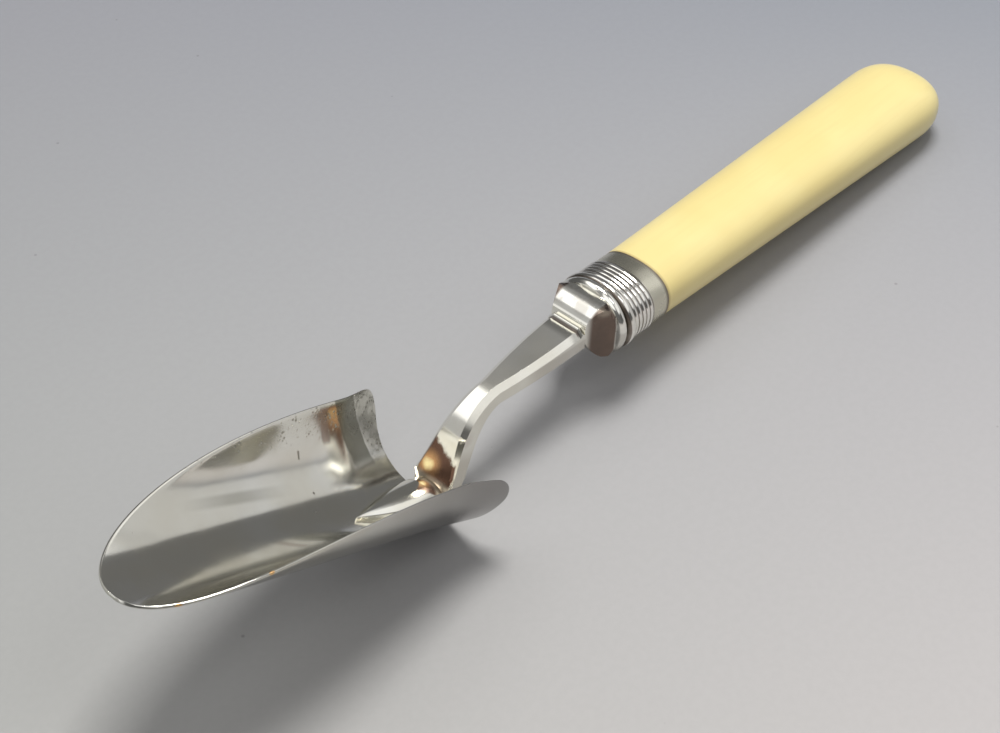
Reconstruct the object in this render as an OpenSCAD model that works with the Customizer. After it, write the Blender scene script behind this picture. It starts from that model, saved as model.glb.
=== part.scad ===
// Cheese scoop: a sheet trough soldered to a forged shank, with a reeded collar and a long handle.
// The pieces are drawn along the handle's axis, which is the X axis, with the butt towards +X.
// The joint between the collar and the handle is at X = 0. The last step, laid_down(), tilts the
// whole scoop until the heel of the blade and the butt of the handle both touch Z = 0.

/* [Blade] */
// Width of the trough across its walls
blade_w = 30; // [24:0.5:36]
// Depth of the trough at the ears
blade_depth = 16; // [12:0.5:19]
// Length along the keel from the nose to the ears' rear edges
blade_l = 73; // [60:0.5:90]
// How far the keel runs on behind the ears
heel_tail = 3.5; // [2:0.5:6]
// Thickness of the sheet along the keel
sheet_t = 1; // [0.7:0.1:1.4]
// Thickness of the sheet at its rims and at the nose
rim_t = 0.6; // [0.4:0.1:0.7]
// Distance from the nose at which the keel reaches its full thickness
thin_run = 15; // [8:1:25]
// Distance from the nose at which the rim reaches its full height
rim_run = 66; // [50:1:72]
// Squareness of the trough's section, where 2 is an ellipse
trough_power = 2.15; // [2:0.05:2.8]
// Radius of the ears' rounded corners
ear_corner = 5; // [3:0.5:7]
// Outward flare of each ear
ear_flare = 2.2; // [0.5:0.1:4]
// Length of the flared stretch of each ear
ear_bend = 11.5; // [6:0.5:14]
// Softness of the bend at the start of the flare
ear_bend_r = 1.5; // [0.5:0.1:4]
// Height up to which the rear edge sweeps forward from the heel
sweep_h = 8; // [5:0.5:10]
// Angle between the keel and the handle's axis
blade_pitch = 24; // [16:0.5:28]

/* [Shank] */
// Width of the shank at the bolster
shank_w = 8; // [6:0.5:10]
// Thickness of the shank at the bolster
shank_t = 4.8; // [4:0.2:6]
// Width of the shank at its waist
waist_w = 4.6; // [4:0.2:7]
// Thickness of the shank at its waist
waist_t = 4; // [3:0.2:5]
// Thickness of the shank in the crank
crank_t = 4.8; // [3.6:0.2:6]
// Width of the shank's foot and of the tongue
foot_w = 8.7; // [7:0.1:10]
// Chamfer along the shank's upper edges
shank_chamfer = 1.1; // [0.5:0.1:1.4]
// Chamfer at the foot's lower end
foot_chamfer = 0.5; // [0.3:0.1:1.4]
// Height of the shank's top face above the handle's axis at the bolster
shank_rise = 2.9; // [2:0.1:3.5]
// Fall of the shank's straight run towards the blade
shank_fall = 5; // [0:0.5:10]
// Length of the shank's straight run from the bolster
shank_run = 21; // [16:0.2:30]
// Radius of the crank, measured on the top face
crank_r = 14; // [9:0.5:16]
// Fall of the shank below the crank
foot_fall = 62.5; // [50:0.5:70]
// Length of the straight foot below the crank
foot_l = 6.9; // [6:0.1:12]

/* [Tongue] */
// Length of the tongue from the crease to its tip
tongue_l = 19; // [14:0.5:24]
// Height of the tongue above the sheet at the crease
tongue_h = 4.6; // [3:0.1:5]
// Depth of the groove between the tongue and the foot
tongue_dip = 0.8; // [0:0.1:1.2]
// Height of the tongue above the sheet at its tip
tongue_tip_h = 0.5; // [0.3:0.1:1]
// Distance of the crease ahead of the heel's end
crease_set = 2.4; // [2:0.1:5]

/* [Bolster] */
// Length of the bolster from the fold to the disc
bolster_l = 5.7; // [5:0.1:9]
// Half width of the bolster's side faces at the disc
bolster_side = 7; // [5:0.1:7.4]
// Height of the bolster's top face above the handle's axis at the disc
bolster_top = 6.4; // [4.5:0.1:6.8]
// Depth of the bolster's underside below the handle's axis at the disc
bolster_under = 4.8; // [4:0.1:6.4]
// Width of the oval disc behind the bolster
disc_w = 16.6; // [14:0.2:18]
// Height of the oval disc
disc_h = 15.4; // [13:0.2:16.4]
// Thickness of the disc
disc_t = 2.2; // [1.2:0.1:2.6]
// Length of the tang inside the handle
tang_l = 42; // [30:1:60]
// Diameter of the tang at the disc
tang_d = 4.6; // [3.6:0.2:5]
// Diameter of the tang at its tip
tang_tip_d = 3.2; // [2.4:0.2:3.6]

/* [Ferrule] */
// Length of the plain band
band_l = 4.5; // [3:0.5:7]
// Number of fine reeds
reed_count = 5; // [3:1:7]
// Distance from one reed to the next
reed_pitch = 1.08; // [0.9:0.02:1.3]
// Height of a reed
reed_h = 0.28; // [0.2:0.02:0.5]
// Width of the front bead
bead_w = 1.8; // [1.4:0.1:2.4]
// Height of the front bead
bead_h = 0.65; // [0.5:0.05:1.2]
// Width of the ferrule's body at the front
ferrule_front_w = 16.2; // [14:0.2:18]
// Height of the ferrule's body at the front
ferrule_front_h = 13.6; // [12:0.2:16]
// Thickness of the ferrule's wall
ferrule_t = 0.6; // [0.4:0.05:0.9]

/* [Handle] */
// Length of the handle behind the ferrule
handle_l = 95; // [75:1:115]
// Width of the handle at the ferrule
handle_front_w = 16.2; // [13:0.2:19]
// Height of the handle at the ferrule
handle_front_h = 11.8; // [10:0.2:15]
// Width of the handle near the butt
handle_back_w = 20.6; // [15:0.2:24]
// Height of the handle near the butt
handle_back_h = 13.2; // [11:0.2:16]
// Length of the rounded butt
butt_l = 11; // [7:0.5:16]
// Squareness of the handle's section, where 2 is an ellipse
handle_power = 2.4; // [2:0.1:2.8]
// Diameter of the bore for the tang
bore_d = 6; // [5.4:0.2:7]

/* [Hidden] */

plate_colour = [0.72, 0.72, 0.70];
ferrule_colour = [0.78, 0.78, 0.78];
handle_colour = [0.96, 0.90, 0.68];
cement_colour = [0.55, 0.45, 0.33];

// Resolution of the lofted surfaces
blade_rows = 40;
blade_cols = 28;
oval_cols = 40;
half_cols = 12;
tongue_rows = 12;
crank_rows = 9;
swell_rows = 9;
bolster_rows = 5;
butt_rows = 9;
tang_facets = 32;
bore_facets = 48;

// Width of the smallest ring, at the nose, the tongue's tip and the butt's end
tiny = 0.02;
// How far a cutting solid runs past a face
past = 0.01;
// How far the forms of one forged piece run into each other
lap = 0.3;

disc_size = [disc_w, disc_h];
ferrule_front = [ferrule_front_w, ferrule_front_h];
handle_front = [handle_front_w, handle_front_h];
handle_back = [handle_back_w, handle_back_h];

// Layout along the handle's axis
ferrule_l = band_l + reed_count * reed_pitch + bead_w;
disc_front = -ferrule_l - disc_t;
fold_x = disc_front - bolster_l;
tang_end_gap = 2;
bore_end = tang_l + tang_end_gap;

// The top line of the shank: from the fold forwards, it falls gently, turns through the crank and
// falls steeply along the foot to the crease
crank_start = [fold_x - shank_run * cos(shank_fall), shank_rise - shank_run * sin(shank_fall)];
crank_turn = foot_fall - shank_fall;
crank_l = crank_r * crank_turn * PI / 180;
function crank_point(fall) =
    crank_start - crank_r * [sin(fall) - sin(shank_fall), cos(shank_fall) - cos(fall)];
crease = crank_point(foot_fall) - foot_l * [cos(foot_fall), sin(foot_fall)];

// The blade's own frame: d is the distance from the nose along the keel and h the height above it
keel_l = blade_l + heel_tail;
keel_dir = [cos(blade_pitch), -sin(blade_pitch)];
keel_up = [sin(blade_pitch), cos(blade_pitch)];
heel = crease + crease_set * keel_dir - (tongue_h + sheet_t) * keel_up;
function on_keel(d, h) = heel + (d - keel_l) * keel_dir + h * keel_up;
function blade_point(d, y, h) = let(p = on_keel(d, h)) [p[0], y, p[1]];

// A closed skin over rings of n points each, with flat ends
function skin_sides(m, n) = [
    for (i = [0:m - 2], j = [0:n - 1])
        let(a = i * n + j, b = i * n + (j + 1) % n)
        each [[a, b, b + n], [a, b + n, a + n]]
];
function skin_ends(m, n) = [[for (j = [n - 1:-1:0]) j], [for (j = [0:n - 1]) (m - 1) * n + j]];
module skin(rings) {
    m = len(rings);
    n = len(rings[0]);
    polyhedron([for (r = rings) each r], concat(skin_sides(m, n), skin_ends(m, n)), 4);
}

// Section of the trough: q is the angle round it from the keel, 90 at the top of a full wall
function wall_y(q, t) = (blade_w / 2 - t) * sign(q) * pow(abs(sin(q)), 2 / trough_power);
function wall_h(q, t) = t + (blade_depth - t) * (1 - pow(cos(q), 2 / trough_power));
function floor_h(y) =
    sheet_t + (blade_depth - sheet_t)
        * (1 - pow(1 - pow(abs(y) / (blade_w / 2 - sheet_t), trough_power), 1 / trough_power));

// The rim rises from the nose along a parabola and rounds down again at the ear's corner
function rim_share(d) = 1 - pow(1 - min(d / rim_run, 1), 2);
function corner_drop(d) =
    let(u = max(d - (blade_l - ear_corner), 0) / ear_corner)
    ear_corner * (1 - sqrt(max(1 - u * u, 0)));
function rim_h(d) = blade_depth * rim_share(d) - (d < blade_l ? corner_drop(d) : ear_corner);
function angle_at(h) = acos(pow(1 - h / blade_depth, trough_power / 2));

// The rear edge is upright on the ears and sweeps back to the heel along a quarter ellipse
function rear_d(h) =
    let(u = max(1 - h / sweep_h, 0)) blade_l + heel_tail * (1 - sqrt(max(1 - u * u, 0)));

// Each ear bends outwards along an upright line and then runs straight
function bend_way(v) = sqrt(v * v + ear_bend_r * ear_bend_r) - ear_bend_r;
function flare(d, h) =
    ear_flare * bend_way(max(d - (blade_l - ear_bend), 0)) / bend_way(ear_bend)
        * min(h / blade_depth, 1);

// The sheet thins towards the rims, where w is 1 or -1, and towards the nose
rim_power = 4;
function thickness(d, w) =
    rim_t + (sheet_t - rim_t) * min(d / thin_run, 1) * (1 - pow(w, rim_power));

// A point of the sheet's outer face, where inner is 0, or of its inner face, where it is 1
function sheet_point(row, w, inner) =
    let(
        q_rear = angle_at(blade_depth - ear_corner) * w,
        d = max(row * rear_d(wall_h(abs(q_rear), 0)), tiny),
        q = angle_at(rim_h(min(d, blade_l))) * w,
        t = inner * thickness(d, w),
        h = wall_h(abs(q), t)
    )
    blade_point(d, wall_y(q, t) + sign(w) * flare(min(d, blade_l), h), h);

function blade_row(i) =
    let(row = (1 - cos(180 * i / blade_rows)) / 2)
    concat(
        [for (j = [0:blade_cols]) sheet_point(row, 1 - 2 * j / blade_cols, 0)],
        [for (j = [blade_cols:-1:0]) sheet_point(row, 1 - 2 * j / blade_cols, 1)]
    );

// The two ends of the sheet are closed by strips, because the rear edge isn't flat
function strip_end(first, n, flip) = [
    for (j = [0:n / 2 - 2])
        let(a = first + j, b = first + n - 1 - j)
        each (flip
            ? [[a, b, a + 1], [a + 1, b, b - 1]]
            : [[a, a + 1, b], [a + 1, b - 1, b]])
];

module blade() {
    n = 2 * (blade_cols + 1);
    m = blade_rows + 1;
    points = [for (i = [0:blade_rows]) each blade_row(i)];
    faces = concat(skin_sides(m, n), strip_end(0, n, true), strip_end((m - 1) * n, n, false));
    color(plate_colour) laid_down() polyhedron(points, faces, 4);
}

// A ring of the shank is given by its right half, from the top's middle to the bottom's middle,
// as [y, depth] pairs: y across and depth from the top point along its own down direction
function place_half(half, top, down) =
    let(k = len(half) - 1)
    concat(
        [for (i = [0:k]) place_pair(half[i], top, down)],
        [for (i = [k - 1:-1:1]) place_pair([-half[i][0], half[i][1]], top, down)]
    );
function place_pair(pair, top, down) =
    [top[0] + pair[1] * down[0], pair[0], top[1] + pair[1] * down[1]];

// Easing of the bar's lower edges
lower_edge = 0.4;

// Section of the bar: flat top, chamfered upper edges, upright sides and eased lower edges
function bar_half(w, t, c, e) =
    let(hw = w / 2)
    concat(
        [for (k = [0:3]) [(hw - c) * k / 3, 0]],
        [for (k = [0:4]) [hw, c + (t - c - e) * k / 4]],
        [for (k = [3:-1:0]) [(hw - e) * k / 3, t]]
    );

// The bar is slimmest at its waist, and u is the share of its way from the fold, 0, to the crease, 1
bar_l = shank_run + crank_l + foot_l;
waist_at = 0.5;
function past_waist(u) = (u - waist_at) / (1 - waist_at);
function bar_w(u) =
    u < waist_at
        ? waist_w + (shank_w - waist_w) * (1 - pow(u / waist_at, 2))
        : waist_w + (foot_w - waist_w) * pow(past_waist(u), 2);
function bar_t(u) =
    u < waist_at
        ? waist_t + (shank_t - waist_t) * pow(1 - u / waist_at, 2)
        : waist_t + (crank_t - waist_t) * (1 - cos(360 * past_waist(u))) / 2;
function bar_chamfer(u) =
    shank_chamfer - (shank_chamfer - foot_chamfer) * (u < waist_at ? 0 : pow(past_waist(u), 2));

// A fine groove and a low ridge cross the bar's top next to the fold, as [distance, height] pairs
fold_lips = [[2, 0], [1.5, -0.2], [1.2, -0.25], [0.9, 0.1], [0.6, 0.3], [0.3, 0.2], [0.02, 0]];

function bar_fall(s) = shank_fall + crank_turn * min(max((s - shank_run) / crank_l, 0), 1);
function bar_top(s) =
    s < shank_run
        ? [fold_x - s * cos(shank_fall), shank_rise - s * sin(shank_fall)]
        : s < shank_run + crank_l
            ? crank_point(bar_fall(s))
            : crank_point(foot_fall)
                - (s - shank_run - crank_l) * [cos(foot_fall), sin(foot_fall)];
function bar_ring(s, lip = 0) =
    let(u = s / bar_l, f = bar_fall(s), down = [sin(f), -cos(f)])
    place_half(
        bar_half(bar_w(u), bar_t(u) + lip, bar_chamfer(u), lower_edge), bar_top(s) - lip * down, down);

// The tongue: a tall rounded ridge that narrows and sinks to its tip, seated on the trough's floor,
// with a rounded upper end above the groove
seat = 0.03;
tongue_end = 0.985;
tongue_taper = 2.2;
tongue_swell = 0.8;
knob_share = 0.2;
knob_narrowing = 0.06;
tongue_stations = concat(
    [for (k = [0:tongue_rows - 1]) tongue_end * cos(90 * k / tongue_rows)],
    [for (k = [5:-1:0]) knob_share * (1 - cos(15 * k))]
);
function tongue_ring(u) =
    let(
        d = keel_l - crease_set - tongue_l * u,
        dip = 1 - sqrt(1 - pow(max(1 - u / knob_share, 0), 2)),
        w = foot_w / 2 * (1 - pow(u, tongue_taper)) * (1 - knob_narrowing * dip),
        rise = tongue_tip_h + (tongue_h - tongue_tip_h) * pow(1 - u, tongue_swell) - tongue_dip * dip,
        dome = [for (k = [0:8]) [w * sin(90 * k / 8), rise * cos(90 * k / 8)]],
        base = [for (k = [3:-1:0]) [w * k / 4, 0]],
        half = [for (p = concat(dome, base)) [p[0], -floor_h(p[0]) - seat - p[1]]]
    )
    place_half(half, on_keel(d, 0), -keel_up);

// The foot's lower end stands on the floor at the heel, shortened where the floor rises
heel_inset = 0.2;
function heel_ring() =
    let(
        top = crease + lap * [cos(foot_fall), sin(foot_fall)],
        base = on_keel(keel_l - heel_inset, sheet_t + seat),
        t = norm(base - top),
        lean = (top - base) * keel_up / t,
        half = [for (p = bar_half(foot_w, t, foot_chamfer, lower_edge))
            [p[0], p[1] * (1 - (floor_h(p[0]) - sheet_t) / (lean * t))]]
    )
    place_half(half, top, (base - top) / t);

// The bolster: its top and underside swell at once from the fold, its sides flare slowly, and its
// corners are trimmed by an oval outline that closes on the disc
swell_share = 0.7;
flare_power = 1.2;
corner_room = 2.6;
outline_inset = 1.15;
bolster_stations = concat(
    [for (k = [0:swell_rows]) swell_share * (1 - cos(90 * k / swell_rows))],
    [for (k = [1:bolster_rows]) swell_share + (1 - swell_share) * sin(90 * k / bolster_rows)]
);
outline_end = disc_size / 2 - [1, 1] * outline_inset;
function square_point(k) =
    k <= 3 ? [k / 3, 1] : k <= 9 ? [1, 1 - (k - 3) / 3] : [(12 - k) / 3, -1];
function bolster_ring(u) =
    let(
        swell = sqrt(1 - pow(1 - min(u / swell_share, 1), 2)),
        side = shank_w / 2 + (bolster_side - shank_w / 2) * pow(u, flare_power),
        top = shank_rise + (bolster_top - shank_rise) * swell,
        under = tiny + (bolster_under - tiny) * sin(90 * min(u / swell_share, 1)),
        outline = outline_end + [1, 1] * corner_room * sqrt(1 - u),
        half = [for (k = [0:half_cols])
            let(q = square_point(k), p = [side * q[0], (q[1] > 0 ? top : under) * q[1]])
            p * min(1, 1 / norm([p[0] / outline[0], p[1] / outline[1]]))]
    )
    place_half([for (p = half) [p[0], -p[1]]], [fold_x + (bolster_l + lap) * u, 0], [0, -1]);

module shank() {
    rings = concat(
        [for (u = tongue_stations) tongue_ring(u)],
        [heel_ring()],
        [for (k = [1:3]) bar_ring(bar_l - foot_l * k / 4)],
        [for (k = [0:crank_rows]) bar_ring(shank_run + crank_l * (1 - k / crank_rows))],
        [for (k = [1:4]) bar_ring(shank_run * (1 - k / 5))],
        [for (lip = fold_lips) bar_ring(lip[0], lip[1])],
        [for (u = bolster_stations) bolster_ring(u)]
    );
    color(plate_colour) laid_down() {
        skin(rings);
        disc();
        tang(0);
    }
}

// The tapered round tang, from extra ahead of the disc's rear face
module tang(extra) {
    translate([-ferrule_l - extra, 0, 0]) rotate([0, 90, 0])
        cylinder(h = ferrule_l + tang_l + extra, d1 = tang_d, d2 = tang_tip_d, $fn = tang_facets);
}

// Oval disc with a round rim
module disc() {
    skin([
        for (k = [0:6])
            let(q = 90 - 30 * k, out = disc_t / 2 * (cos(q) - 1))
            oval(disc_front + disc_t / 2 * (1 - sin(q)), disc_size[0] / 2 + out, disc_size[1] / 2 + out, 2)
    ]);
}

// A ring of an oval section with half width a and half height b at x
function oval(x, a, b, p) = [
    for (j = [0:oval_cols - 1])
        let(q = 360 * j / oval_cols, c = cos(q), s = sin(q))
        [x, a * sign(c) * pow(abs(c), 2 / p), -b * sign(s) * pow(abs(s), 2 / p)]
];

// The ferrule's body goes from a rounder front to the handle's flatter oval at the back
function body_half(x) =
    let(u = -x / ferrule_l) (handle_front * (1 - u) + ferrule_front * u) / 2;
function body_power(x) = handle_power + (2 - handle_power) * (-x / ferrule_l);
function body_ring(x, out) =
    let(h = body_half(x)) oval(x, h[0] + out, h[1] + out, body_power(x));

module ferrule() {
    reed_zone = band_l + reed_count * reed_pitch;
    bead = [for (k = [0:7]) [-ferrule_l + bead_w * (1 - cos(180 * k / 7)) / 2, bead_h * sin(180 * k / 7)]];
    reeds = [
        for (i = [0:reed_count - 1], k = [0:3])
            [-reed_zone + reed_pitch * (i + (k + 0.5) / 4), reed_h * sin(180 * (k + 0.5) / 4)]
    ];
    band = [[-band_l, 0], [0, 0]];
    outer = concat(bead, reeds, band);
    color(ferrule_colour) laid_down() difference() {
        skin([for (p = outer) body_ring(p[0], p[1])]);
        skin([body_ring(-ferrule_l - past, -ferrule_t), body_ring(past, -ferrule_t)]);
    }
}

// Half width and half height of the handle at x
butt_power = 2.6;
butt_start = handle_l - butt_l;
function butt_share(x) =
    let(u = max(x - butt_start, 0) / butt_l) pow(max(1 - pow(u, butt_power), 0), 1 / butt_power);
function handle_half(x) =
    let(u = min(x / butt_start, 1))
    (handle_front * (1 - u) + handle_back * u) / 2 * max(butt_share(x), tiny);
handle_stations = concat(
    [for (k = [0:5]) butt_start * k / 5],
    [for (k = [1:butt_rows]) butt_start + butt_l * sin(90 * k / butt_rows)]
);

module handle() {
    rings = concat(
        [body_ring(-ferrule_l, -ferrule_t), body_ring(0, -ferrule_t)],
        [for (x = handle_stations) let(h = handle_half(x)) oval(x, h[0], h[1], handle_power)]
    );
    color(handle_colour) laid_down() difference() {
        skin(rings);
        bore(1);
    }
}

// The round space of the handle's bore, from extra ahead of the handle's front end
module bore(extra) {
    translate([-ferrule_l - extra, 0, 0]) rotate([0, 90, 0])
        cylinder(h = ferrule_l + bore_end + extra, d = bore_d, $fn = bore_facets);
}

// The cement fills the bore round the tang
module cement() {
    color(cement_colour) laid_down() difference() {
        bore(0);
        tang(past);
    }
}

// The tilt at which the heel and the butt stand level, found from a rough start by repeated steps
function under(x, tilt) = x * sin(tilt) + handle_half(x)[1] * cos(tilt);
function butt_under(tilt) = max([for (x = handle_stations) under(x, tilt)]);
function heel_under(tilt) = heel[0] * sin(tilt) - heel[1] * cos(tilt);
function settle(tilt, steps) =
    steps == 0
        ? tilt
        : settle(tilt + (heel_under(tilt) - butt_under(tilt)) / (handle_l - heel[0]) * 180 / PI, steps - 1);
rough_tilt = 5;
rest_tilt = settle(rough_tilt, 12);
rest_lift = heel_under(rest_tilt);
nose = on_keel(tiny, 0);
nose_x = nose[0] * cos(rest_tilt) + nose[1] * sin(rest_tilt);
butt_x = max([for (x = handle_stations) x * cos(rest_tilt) + handle_half(x)[1] * sin(rest_tilt)]);

module laid_down() {
    translate([-(nose_x + butt_x) / 2, 0, rest_lift]) rotate([0, rest_tilt, 0]) children();
}

blade();
shank();
ferrule();
handle();
cement();
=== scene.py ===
"""Cheese scoop: plated trough and shank, reeded silver ferrule, ivory-coloured handle."""

import math

import bmesh
import bpy
from mathutils import Matrix, Vector


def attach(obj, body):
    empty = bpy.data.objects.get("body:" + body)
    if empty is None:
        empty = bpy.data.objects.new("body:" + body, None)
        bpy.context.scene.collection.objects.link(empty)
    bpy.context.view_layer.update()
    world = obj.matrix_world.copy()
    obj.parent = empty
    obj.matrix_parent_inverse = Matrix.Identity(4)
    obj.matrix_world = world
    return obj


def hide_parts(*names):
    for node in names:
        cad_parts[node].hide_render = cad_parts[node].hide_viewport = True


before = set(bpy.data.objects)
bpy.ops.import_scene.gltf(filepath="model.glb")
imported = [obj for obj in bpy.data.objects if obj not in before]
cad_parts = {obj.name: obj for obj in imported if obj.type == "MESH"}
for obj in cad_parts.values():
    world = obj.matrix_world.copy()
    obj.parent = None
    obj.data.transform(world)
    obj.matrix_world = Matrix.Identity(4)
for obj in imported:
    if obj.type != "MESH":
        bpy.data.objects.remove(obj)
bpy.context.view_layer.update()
scene = bpy.context.scene
MM = 0.001

# The handle's axis: where it meets the collar, and its tilt
TILT = math.radians(4.8784)
COLLAR = Vector((14.338, 0.0, 13.881)) * MM
# The trough's keel: its heel, and the tilt from the nose down to it
KEEL_TILT = math.radians(28.8784)
HEEL = Vector((-42.036, 0.0, 0.0)) * MM
# How far the middle of the trough's hollow is above the keel
HOLLOW_RISE = 14 * MM


# ---------------------------------------------------------------- camera
def aim_camera():
    place = Vector((-0.204265, -0.166846, 0.271775))
    right = Vector((0.670915, -0.741474, -0.009493))
    up = Vector((0.534224, 0.474429, 0.699659))
    look = Vector((0.514275, 0.474483, -0.714414))
    data = bpy.data.cameras.new("camera")
    data.lens = 71.966
    data.sensor_width = 36.0
    data.clip_start = 0.01
    data.clip_end = 20.0
    camera = bpy.data.objects.new("camera", data)
    turn = Matrix((right, up, -look)).transposed().to_4x4()
    camera.matrix_world = Matrix.Translation(place) @ turn
    scene.collection.objects.link(camera)
    scene.camera = camera


# ---------------------------------------------------------------- shader maths
class Maths:
    """A number in a node tree, so that masks are written as plain expressions."""

    def __init__(self, surface, socket):
        self.surface = surface
        self.socket = socket

    def _do(self, operation, *others, clamp=False):
        node = self.surface.node("ShaderNodeMath", {"operation": operation, "use_clamp": clamp})
        for i, value in enumerate((self,) + others):
            self.surface.feed(node.inputs[i], value)
        return Maths(self.surface, node.outputs[0])

    def __add__(self, other):
        return self._do("ADD", other)

    def __sub__(self, other):
        return self._do("SUBTRACT", other)

    def __mul__(self, other):
        return self._do("MULTIPLY", other)

    def __truediv__(self, other):
        return self._do("DIVIDE", other)

    def __rsub__(self, other):
        return self * -1.0 + other

    __radd__ = __add__
    __rmul__ = __mul__

    def clamp(self):
        return self._do("ADD", 0.0, clamp=True)

    def power(self, other):
        return self._do("POWER", other)

    def size(self):
        return self._do("ABSOLUTE")

    def sine(self):
        return self._do("SINE")

    def high(self, other):
        return self._do("MAXIMUM", other)

    def ramp(self, start, end):
        """0 at start, 1 at end, smooth between; start may be the larger."""
        node = self.surface.node("ShaderNodeMapRange", {"interpolation_type": "SMOOTHSTEP"})
        self.surface.feed(node.inputs["Value"], self)
        if start <= end:
            ends = (start, end, 0.0, 1.0)
        else:
            ends = (end, start, 1.0, 0.0)
        for name, value in zip(("From Min", "From Max", "To Min", "To Max"), ends):
            node.inputs[name].default_value = value
        return Maths(self.surface, node.outputs[0])

    def fade(self, start, end):
        """A ramp whose ends are in millimetres."""
        return self.ramp(start * MM, end * MM)

    def band(self, low, high, soft):
        """1 from low to high, in millimetres, falling to 0 over soft on each side."""
        return self.fade(low - soft, low) * self.fade(high + soft, high)


class Nodes:
    """A node tree that is written in calls."""

    def __init__(self, tree, coordinates):
        self.tree = tree
        self.place = self.node("ShaderNodeTexCoord").outputs[coordinates]

    def node(self, kind, settings=None, values=None):
        node = self.tree.nodes.new(kind)
        for key, value in (settings or {}).items():
            setattr(node, key, value)
        for key, value in (values or {}).items():
            self.feed(node.inputs[key], value)
        return node

    def feed(self, socket, value):
        if isinstance(value, Maths):
            self.tree.links.new(value.socket, socket)
        elif isinstance(value, bpy.types.NodeSocket):
            self.tree.links.new(value, socket)
        else:
            socket.default_value = value

    def mapped(self, scale=(1, 1, 1), turn=(0, 0, 0), shift=(0, 0, 0), kind="POINT"):
        """The place, turned, scaled and moved."""
        node = self.node(
            "ShaderNodeMapping",
            {"vector_type": kind},
            {"Vector": self.place, "Location": shift, "Rotation": turn, "Scale": scale},
        )
        return node.outputs[0]

    def noise(self, size, where=None, detail=3.0):
        """Cloudy noise, 0 to 1, with blotches about size millimetres across."""
        node = self.node(
            "ShaderNodeTexNoise",
            {"noise_dimensions": "3D"},
            {
                "Vector": where or self.place,
                "Scale": 1.0 / (size * MM),
                "Detail": detail,
                "Roughness": 0.55,
            },
        )
        return Maths(self, node.outputs[0])

    def spots(self, size):
        """Distance to the nearest of points scattered size millimetres apart, in cells."""
        node = self.node(
            "ShaderNodeTexVoronoi",
            {"voronoi_dimensions": "3D", "feature": "F1"},
            {"Vector": self.place, "Scale": 1.0 / (size * MM)},
        )
        return Maths(self, node.outputs["Distance"])

    def mark(self, name):
        """A number kept on the mesh under a name."""
        node = self.node("ShaderNodeAttribute", {"attribute_name": name})
        return Maths(self, node.outputs["Fac"])

    def axis(self, where=None):
        """The x, y and z of a place as numbers."""
        node = self.node("ShaderNodeSeparateXYZ", None, {0: where or self.place})
        return [Maths(self, node.outputs[i]) for i in range(3)]

    def axis_from(self, origin, tilt):
        """The place as numbers in a frame that starts at origin and is tilted about y."""
        return self.axis(self.mapped(turn=(0, tilt, 0), shift=tuple(origin), kind="TEXTURE"))

    def near(self, point, reach):
        """1 at a point, falling smoothly to 0 at reach, all in millimetres."""
        point = tuple(c * MM for c in point)
        node = self.node(
            "ShaderNodeVectorMath", {"operation": "DISTANCE"}, {0: self.place, 1: point}
        )
        return Maths(self, node.outputs["Value"]).fade(reach, 0.0)

    def blend(self, share, first, second):
        """A colour: first where share is 0, second where it is 1."""
        node = self.node("ShaderNodeMix", {"data_type": "RGBA"})
        self.feed(node.inputs["Factor"], share)
        for key, value in (("A", first), ("B", second)):
            socket = next(s for s in node.inputs if s.name == key and s.type == "RGBA")
            if isinstance(value, tuple):
                value = value + (1.0,) if len(value) == 3 else value
            self.feed(socket, value)
        return next(s for s in node.outputs if s.type == "RGBA")

    def bump(self, height, depth, under=None):
        """A normal bumped by a height from 0 to 1, which stands for depth millimetres."""
        node = self.node("ShaderNodeBump", None, {"Height": height, "Distance": depth * MM})
        if under is not None:
            self.feed(node.inputs["Normal"], under)
        return node.outputs["Normal"]


class Surface(Nodes):
    """A material on Object coordinates."""

    def __init__(self, name):
        self.material = bpy.data.materials.new(name)
        self.material.use_nodes = True
        super().__init__(self.material.node_tree, "Object")
        self.shader = self.tree.nodes["Principled BSDF"]

    def set(self, **values):
        for key, value in values.items():
            self.feed(self.shader.inputs[key.replace("_", " ")], value)


# ---------------------------------------------------------------- tones
# The plate, clean and soiled
CLEAN_PLATE = (0.88, 0.868, 0.80)
HAZY_PLATE = (0.83, 0.81, 0.73)
WARM_PLATE = (0.80, 0.765, 0.65)
PIT = (0.20, 0.19, 0.16)
# The trough's far ear with its painted reflections, its outer skin with painted shade, and the
# nicks on its rim
GREY_STAIN_AND_DARK_REFLECTION = (0.28, 0.275, 0.225)
PAINTED_COPPER_REFLECTION = (0.40, 0.31, 0.27)
DULL_AND_SHADED_OUTSIDE = (0.20, 0.195, 0.20)
COPPER_NICK = (0.80, 0.52, 0.25)
# The shank's corners and bolster, toned with painted shade and painted dark reflections, and the
# crank
DARK_SHADE_AND_REFLECTION = (0.11, 0.09, 0.078)
BROWN_SHADE_AND_REFLECTION = (0.23, 0.165, 0.13)
BEIGE_FILM = (0.62, 0.56, 0.45)
ROSY_CRANK = (0.62, 0.45, 0.44)
# The copper at the shank's foot, with a painted highlight at its middle
DARK_COPPER = (0.14, 0.08, 0.058)
COPPER_GLOW = (0.72, 0.41, 0.19)
GOLDEN_HIGHLIGHT = (1.0, 0.86, 0.47)
FOOT_CREASE = (0.48, 0.43, 0.36)
# The ferrule
BRIGHT_SILVER = (0.90, 0.88, 0.82)
HAZY_SILVER = (0.80, 0.78, 0.71)
BARE_BAND = (0.61, 0.585, 0.47)
GROOVE_DARK = (0.17, 0.135, 0.11)
# The handle and the cement
PALE_IVORY = (0.88, 0.745, 0.335)
DEEP_IVORY = (0.85, 0.70, 0.295)
IVORY_GRAIN = (0.78, 0.62, 0.26)
COLLAR_STAIN = (0.35, 0.25, 0.10)
DARK_CEMENT = (0.30, 0.22, 0.15)
PALE_CEMENT = (0.38, 0.30, 0.21)
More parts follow.
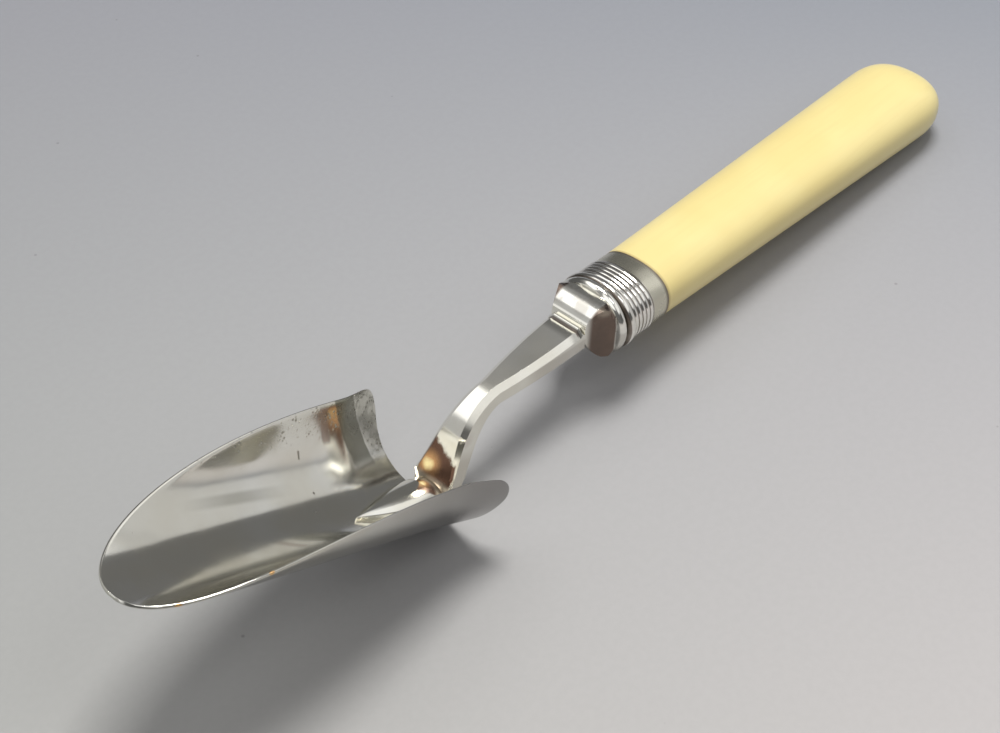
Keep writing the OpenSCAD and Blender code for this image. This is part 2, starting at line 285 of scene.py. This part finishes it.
# The floor card at four points, darker far away as painted light fall-off, and the flecks on it
CARD_NEAR_LEFT = (0.406, 0.411, 0.393)
CARD_NEAR_RIGHT = (0.545, 0.520, 0.513)
CARD_FAR_LEFT = (0.281, 0.285, 0.310)
CARD_FAR_RIGHT = (0.253, 0.270, 0.305)
CARD_FLECK = (0.12, 0.11, 0.11)

# The ferrule's plain band, and the spacing of the reeds before it, in millimetres
BAND_LENGTH = 4.5
REED_PITCH = 1.08


# ---------------------------------------------------------------- materials
def silver_plate(s, tilt, tarnish_and_painted_light, tone, pits):
    """Old polished plate: haze, fine scratches, ripples, pits, and a tone where the tarnish and
    the painted light are.
    """
    haze = s.noise(7, detail=3.0)
    cloud = s.noise(17, detail=2.0)
    lengthwise = s.mapped(scale=(0.05, 1.0, 1.0), turn=(0, tilt, 0))
    crosswise = s.mapped(scale=(1.0, 0.08, 1.0), turn=(0, tilt, 0.5))
    long_scratches = s.noise(0.22, lengthwise, detail=2.0).ramp(0.62, 0.70)
    cross_scratches = s.noise(0.16, crosswise, detail=1.0).ramp(0.68, 0.76)
    clean = s.blend(haze.ramp(0.35, 0.70), CLEAN_PLATE, HAZY_PLATE)
    warm = s.blend(cloud.ramp(0.40, 0.65) * 0.5, clean, WARM_PLATE)
    colour = s.blend(tarnish_and_painted_light, warm, tone)
    rough = haze.ramp(0.3, 0.8) * 0.06 + 0.11 + tarnish_and_painted_light * 0.12
    normal = s.bump(s.noise(9, detail=1.0), 0.05)
    normal = s.bump(long_scratches + cross_scratches * 0.6, 0.0015, normal)
    s.set(
        Metallic=1.0,
        Base_Color=s.blend(pits * 0.75, colour, PIT),
        Roughness=rough + pits * 0.25,
        Normal=s.bump(1.0 - pits, 0.012, normal),
    )


def worn_trough():
    """The trough's plate: bright inside, duller outside with painted shade heaviest towards the
    heel, painted reflections in brown and dark grey at the far ear, stained at the far ear and
    rim.
    """
    s = Surface("worn_trough")
    along, across, above = s.axis_from(HEEL, KEEL_TILT)
    outside = s.mark("outside").ramp(0.3, 0.7)
    far = across.fade(0.5, 2) * (1.0 - outside)
    ragged = s.noise(2.5, detail=3.0) * (1.0 * MM) - 0.5 * MM
    # The ear's bands lean back as they rise: a brown painted reflection of the copper foot, then a
    # dark grey painted reflection of a dark wall, then a pitted patch
    slant = along + above * 0.24 + ragged
    lean = along + above * 0.45 + ragged
    brown = slant.band(-17.2, -15.7, 0.5) * above.band(9.2, 14.6, 1.0) * far
    grey = lean.band(-10.0, -5.2, 0.5) * above.fade(3.5, 5.5) * far
    patch = lean.fade(-5.2, -4.2) * above.fade(4.5, 6) * far
    # A streak towards the nose, a short dark mark, scattered specks and a pitted rim
    streak = s.near((-77, 9.4, 24), 14) * across.fade(6, 8)
    streak = streak * (above + along * 0.045).band(2.2, 2.9, 0.6)
    mark = along.band(-26.05, -25.75, 0.15) * above.band(7.4, 8.4, 0.3) * far
    specks = s.spots(6.5).ramp(0.045, 0.03)
    rim = across.fade(12.6, 13.8) * along.fade(-66, -50) * 0.8
    clusters = s.noise(2.2, detail=2.0).ramp(0.45, 0.58)
    holes = s.spots(0.7).ramp(0.45, 0.18)
    pits = (patch.high(rim) * clusters * holes).high(specks).high(mark)
    # Two nicks in the rim, down to the copper
    nicks = s.near((-103.3, -8.5, 36.6), 1.1).high(s.near((-88.8, -13.0, 34.8), 0.9))
    nicks = nicks.ramp(0.2, 0.6)
    # How much of the tone shows: the painted reflections in the brown and grey bands, the streak,
    # the patch, the outer skin and the nicks
    tarnish_and_painted_light = (grey * 0.92).high(brown * 0.7).high(streak * 0.45)
    tarnish_and_painted_light = tarnish_and_painted_light.high(patch * (clusters * 0.3 + 0.3))
    # The outer skin: dull tarnish plus painted shade, heaviest towards the heel, where it mirrors
    # the shadow beneath
    tarnish_and_painted_light = tarnish_and_painted_light.high(outside * (along.fade(-50, -8) * 0.50 + 0.32)).high(nicks)
    # The brown band's tone is a painted reflection of the copper foot; the grey tone serves stains
    # and the painted dark reflection
    tone = s.blend(brown, GREY_STAIN_AND_DARK_REFLECTION, PAINTED_COPPER_REFLECTION)
    tone = s.blend(outside, tone, DULL_AND_SHADED_OUTSIDE)
    tone = s.blend(nicks, tone, COPPER_NICK)
    silver_plate(s, KEEL_TILT, tarnish_and_painted_light, tone, pits)
    return s.material


def worn_shank():
    """The shank's plate, worn to copper at the foot with a painted highlight there, with painted
    dark reflections on the bolster's cheeks and painted shade in the groove and underneath.
    """
    s = Surface("worn_shank")
    along, across, above = s.axis_from(COLLAR, TILT)
    ahead, level, height = s.axis_from(HEEL, KEEL_TILT)
    cloud = s.noise(3.5, detail=3.0)
    ragged = s.noise(0.9, detail=4.0) * (2.6 * MM) - 1.3 * MM
    # The foot's upper face, its brown stain with a ragged top, and a seam along its near edge
    face = (ahead - height * 0.067).fade(-2.2, -2.5)
    face = face * ahead.fade(-3.6, -2.9) * along.fade(-46, -48)
    stain = (height + ragged - level * 0.52).fade(12.3, 10.9) * level.fade(-4.0, -3.7)
    stain = stain * level.fade(4.0, 3.6) * face
    seam = level.band(-3.75, -3.45, 0.15) * height.fade(16.5, 15) * face
    brown = stain.high(seam)
    glow = s.near((-40.3, 1.9, 7.9), 3.4) * (ragged * 220.0 + 1.0).clamp()
    # A painted highlight in the middle of the bare copper
    painted_highlight = (s.near((-40.4, 1.9, 7.7), 2.4) * 1.5 + ragged * 260.0 - 0.5).clamp()
    copper = s.blend(glow, DARK_COPPER, COPPER_GLOW)
    copper = s.blend(painted_highlight, copper, GOLDEN_HIGHLIGHT)
    copper = s.blend(height.fade(6.4, 4.8), copper, FOOT_CREASE)
    # The bolster's cheeks with a painted dark reflection, its top, the groove before it with
    # painted shade, the crank's near edge, and the underside with painted shade
    bolster = along.band(-19.4, -14.2, 0.5)
    groove = along.band(-21.0, -20.6, 0.15) * above.fade(1.5, 2.2)
    painted_cheeks_and_groove = (across.size().fade(3.9, 4.6) * bolster).high(groove * 0.8)
    beige = bolster * cloud.ramp(0.45, 0.60) * above.fade(4.5, 5.6) * 0.35
    crank = s.near((-35, -3.2, 14.2), 4.5).ramp(0.2, 0.8) * across.fade(-2.6, -3.3)
    # Painted shade along the near underside
    painted_shade_beneath = across.fade(-3.0, -3.6) * above.fade(1.2, 0.4) * 0.3
    tarnish_and_painted_light = brown.high(painted_cheeks_and_groove).high(crank * 0.5).high(beige).high(painted_shade_beneath)
    tone = s.blend(cloud, DARK_SHADE_AND_REFLECTION, BROWN_SHADE_AND_REFLECTION)
    tone = s.blend(beige, tone, BEIGE_FILM)
    tone = s.blend(crank, tone, ROSY_CRANK)
    tone = s.blend(brown, tone, copper)
    silver_plate(s, TILT, tarnish_and_painted_light, tone, s.spots(3.5).ramp(0.045, 0.03))
    return s.material


def reeded_silver():
    """The collar's silver: bright reeds over dark grooves, and a bare brushed band."""
    s = Surface("reeded_silver")
    along = s.axis_from(COLLAR, TILT)[0]
    phase = (along + BAND_LENGTH * MM) * (math.pi / (REED_PITCH * MM))
    # Darker in the reeds' grooves, at the front and at the joint with the handle
    groove = along.band(-10.1, -4.3, 0.1) * phase.sine().size().ramp(0.62, 0.15)
    joint = along.fade(-1.0, -0.1)
    front = along.band(-12.2, -11.45, 0.2)
    band = along.fade(-4.4, -4.2)
    haze = s.noise(3, detail=3.0)
    dark_lines = groove.high(joint).high(front) * (haze * 0.5 + 0.65)
    clean = s.blend(haze.ramp(0.35, 0.7), BRIGHT_SILVER, HAZY_SILVER)
    clean = s.blend(band * 0.9, clean, BARE_BAND)
    round_it = s.mapped(scale=(1.0, 0.12, 0.12), turn=(0, TILT, 0))
    s.set(
        Metallic=1.0,
        Base_Color=s.blend(dark_lines.clamp(), clean, GROOVE_DARK),
        Roughness=haze * 0.07 + 0.10 + band * 0.14 + dark_lines * 0.2,
        Normal=s.bump(s.noise(0.2, round_it, detail=2.0), 0.004),
    )
    return s.material


def old_ivory():
    """The handle: ivory-coloured, faint grain along it, and a darker line at the collar."""
    s = Surface("old_ivory")
    along = s.axis_from(COLLAR, TILT)[0]
    grain = s.noise(1.1, s.mapped(scale=(0.03, 1.0, 1.0), turn=(0, TILT, 0)), detail=3.0)
    cloud = s.noise(20, detail=2.0)
    tone = s.blend(cloud.ramp(0.3, 0.7), PALE_IVORY, DEEP_IVORY)
    tone = s.blend(grain.ramp(0.45, 0.75) * 0.22, tone, IVORY_GRAIN)
    tone = s.blend(along.fade(0.7, 0.1) * 0.55, tone, COLLAR_STAIN)
    s.set(
        Base_Color=tone,
        Roughness=grain * 0.08 + 0.30,
        Coat_Weight=0.3,
        Coat_Roughness=0.12,
        Normal=s.bump(grain, 0.01),
    )
    return s.material


def grey_cement():
    """The gritty filling in the handle's bore."""
    s = Surface("grey_cement")
    s.set(Base_Color=s.blend(s.noise(0.6), DARK_CEMENT, PALE_CEMENT), Roughness=0.9)
    return s.material


# ---------------------------------------------------------------- pieces
def merged_copy(node, name, crease_angle):
    """A copy of a CAD node, in quads where it can be, creased at edges over the angle."""
    mesh = bpy.data.meshes.new(name)
    bm = bmesh.new()
    bm.from_mesh(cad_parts[node].data)
    bmesh.ops.remove_doubles(bm, verts=bm.verts, dist=0.004 * MM)
    bmesh.ops.join_triangles(
        bm,
        faces=bm.faces,
        angle_face_threshold=math.radians(30),
        angle_shape_threshold=math.radians(60),
    )
    for face in bm.faces:
        face.smooth = True
    limit = math.radians(crease_angle)
    crease = bm.edges.layers.float.new("crease_edge")
    for edge in bm.edges:
        edge.smooth = len(edge.link_faces) == 2 and edge.calc_face_angle(0) < limit
        edge[crease] = 0.0 if edge.smooth else 1.0
    bm.to_mesh(mesh)
    bm.free()
    piece = bpy.data.objects.new(name, mesh)
    scene.collection.objects.link(piece)
    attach(piece, "root")
    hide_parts(node)
    return piece


def mark_outside(piece):
    """Mark the trough's outer skin: 1 where a point's normal turns away from the hollow."""
    mesh = piece.data
    layer = mesh.attributes.new("outside", "FLOAT", "POINT")
    along = Vector((math.cos(KEEL_TILT), 0, -math.sin(KEEL_TILT)))
    up = Vector((math.sin(KEEL_TILT), 0, math.cos(KEEL_TILT)))
    for point in mesh.vertices:
        middle = HEEL + along * (point.co - HEEL).dot(along) + up * HOLLOW_RISE
        turned_away = (middle - point.co).dot(point.normal) < 0
        layer.data[point.index].value = 1.0 if turned_away else 0.0


def soften(piece, width, segments, angle):
    """Round the edges over an angle in degrees."""
    bevel = piece.modifiers.new("soft_edges", "BEVEL")
    bevel.width = width
    bevel.segments = segments
    bevel.limit_method = "ANGLE"
    bevel.angle_limit = math.radians(angle)


def subdivide(piece, levels):
    """Smooth the form with a live subdivision surface."""
    sub = piece.modifiers.new("smooth_form", "SUBSURF")
    sub.levels = levels
    sub.render_levels = levels


def finish_piece(piece, material):
    """Give a piece its one material, in its only slot."""
    piece.data.materials.clear()
    piece.data.materials.append(material)


# ---------------------------------------------------------------- studio
# The card's right and far directions, its reach along each in metres, and the share of each
# that lies before the origin
CARD_RIGHT = (0.68, -0.73)
CARD_AWAY = (0.73, 0.68)
CARD_REACH = (0.23, 0.22)
CARD_START = (0.565, 0.41)

# The room: bearings and their border, heights and their border, all in degrees, and the level
ROOM = (
    (-62, 14, 12, 26, 44, 5, 1.0),  # window
    (-100, -60, 14, 30, 46, 8, 0.95),  # window beside it
    (64, 146, 10, 46, 66, 5, 1.4),  # high window
    (126, 160, 10, 14, 42, 6, 0.5),  # wall under it
    (134, 168, 8, -10, 12, 5, 1.0),  # low pale wall
    (-172, -126, 8, 36, 72, 6, 1.2),  # high window behind
    (-62, -4.2, 1.2, -10, 19, 8, 0.58),  # pale wall under the first window
    (-2.8, 50, 1.2, -10, 30, 16, 0.15),  # dark corner
    (-150, -114, 12, -10, 24, 8, 0.13),  # dark wall
)
# The room's level low down, what is added overhead, the share of it that lights matt surfaces,
# and the plain backdrop's level
ROOM_BASE = 0.10
ROOM_OVERHEAD = 0.18
MATT_SHARE = 0.75
BACKDROP = 0.42

# Name, place, side in metres, power in watts, colour
LAMPS = (
    ("skylight", (0.211, 0.098, 0.869), 0.34, 6.8, (1.0, 0.99, 0.97)),
    ("side_window", (0.073, -0.416, 0.795), 0.25, 0.5, (1.0, 1.0, 1.0)),
)


def floor():
    """A wide pale card, toned from corner to corner as painted light fall-off, with a few dark
    flecks.
    """
    bm = bmesh.new()
    bmesh.ops.create_grid(bm, x_segments=1, y_segments=1, size=3.0)
    mesh = bpy.data.meshes.new("floor")
    bm.to_mesh(mesh)
    bm.free()
    ground = bpy.data.objects.new("floor", mesh)
    scene.collection.objects.link(ground)
    s = Surface("floor_card")
    x, y = s.axis()[:2]
    shares = []
    for way, reach, start in zip((CARD_RIGHT, CARD_AWAY), CARD_REACH, CARD_START):
        shares.append(((x * way[0] + y * way[1]) / reach + start).clamp())
    rightwards, away = shares
    near = s.blend(rightwards, CARD_NEAR_LEFT, CARD_NEAR_RIGHT)
    far = s.blend(rightwards, CARD_FAR_LEFT, CARD_FAR_RIGHT)
    flecks = s.spots(14).ramp(0.03, 0.015) * 0.35
    mottle = s.noise(1.5, detail=2.0).ramp(0.3, 0.7) * 0.03
    tone = s.blend(flecks + mottle, s.blend(away, near, far), CARD_FLECK)
    s.set(Base_Color=tone, Roughness=0.8)
    mesh.materials.append(s.material)


def softbox(name, place, side, power, colour):
    """A square lamp that faces the origin."""
    data = bpy.data.lights.new(name, "AREA")
    data.shape = "RECTANGLE"
    data.size = side
    data.size_y = side
    data.energy = power
    data.color = colour
    lamp = bpy.data.objects.new(name, data)
    place = Vector(place)
    turn = (-place).to_track_quat("-Z", "Y").to_matrix().to_4x4()
    lamp.matrix_world = Matrix.Translation(place) @ turn
    scene.collection.objects.link(lamp)


class Sky(Nodes):
    """The room round the table, written as soft patches of tone by direction."""

    def __init__(self, tree):
        super().__init__(tree, "Generated")
        self.x, self.y, self.z = self.axis()
        self.level = (1.0 - self.z * self.z).power(0.5).high(0.001)

    def rise(self, low, high):
        """0 below one height in degrees and 1 above the other."""
        return self.z.ramp(math.sin(math.radians(low)), math.sin(math.radians(high)))

    def patch(self, start, end, soft, low, high, soft_rise):
        """A patch between two bearings and two heights in degrees, with soft borders."""
        middle = math.radians((start + end) / 2)
        half = math.radians((end - start) / 2)
        facing = (self.x * math.cos(middle) + self.y * math.sin(middle)) / self.level
        side = facing.ramp(math.cos(half + math.radians(soft)), math.cos(half))
        return side * self.rise(low - soft_rise, low) * self.rise(high + soft_rise, high)


def daylight():
    """The room, as the silver mirrors it; softer on matt surfaces and plain to the camera."""
    world = bpy.data.worlds.new("daylight")
    scene.world = world
    world.use_nodes = True
    s = Sky(world.node_tree)
    tone = s.rise(25, 50) * ROOM_OVERHEAD + ROOM_BASE
    for *patch, level in ROOM:
        tone = tone + s.patch(*patch) * (level - tone)
    rays = s.node("ShaderNodeLightPath").outputs
    camera, glossy, clear = (
        Maths(s, rays[name]) for name in ("Is Camera Ray", "Is Glossy Ray", "Is Transmission Ray")
    )
    tone = tone * (glossy.high(clear) * (1.0 - MATT_SHARE) + MATT_SHARE)
    tone = tone + camera * (BACKDROP - tone)
    background = world.node_tree.nodes["Background"]
    background.inputs["Color"].default_value = (0.985, 0.985, 1.0, 1.0)
    s.feed(background.inputs["Strength"], tone)


aim_camera()
floor()
daylight()
for lamp in LAMPS:
    softbox(*lamp)

blade = merged_copy("blade", "trough", 180.0)
mark_outside(blade)
subdivide(blade, 2)
finish_piece(blade, worn_trough())
shank = merged_copy("shank", "cranked_shank", 30.0)
soften(shank, 0.16 * MM, segments=2, angle=30.0)
finish_piece(shank, worn_shank())
ferrule = merged_copy("ferrule", "reeded_ferrule", 60.0)
subdivide(ferrule, 2)
finish_piece(ferrule, reeded_silver())
handle = merged_copy("handle", "long_handle", 35.0)
subdivide(handle, 1)
finish_piece(handle, old_ivory())
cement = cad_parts["cement"]
cement.data.materials.clear()
cement.data.materials.append(grey_cement())

scene.view_settings.view_transform = "Standard"
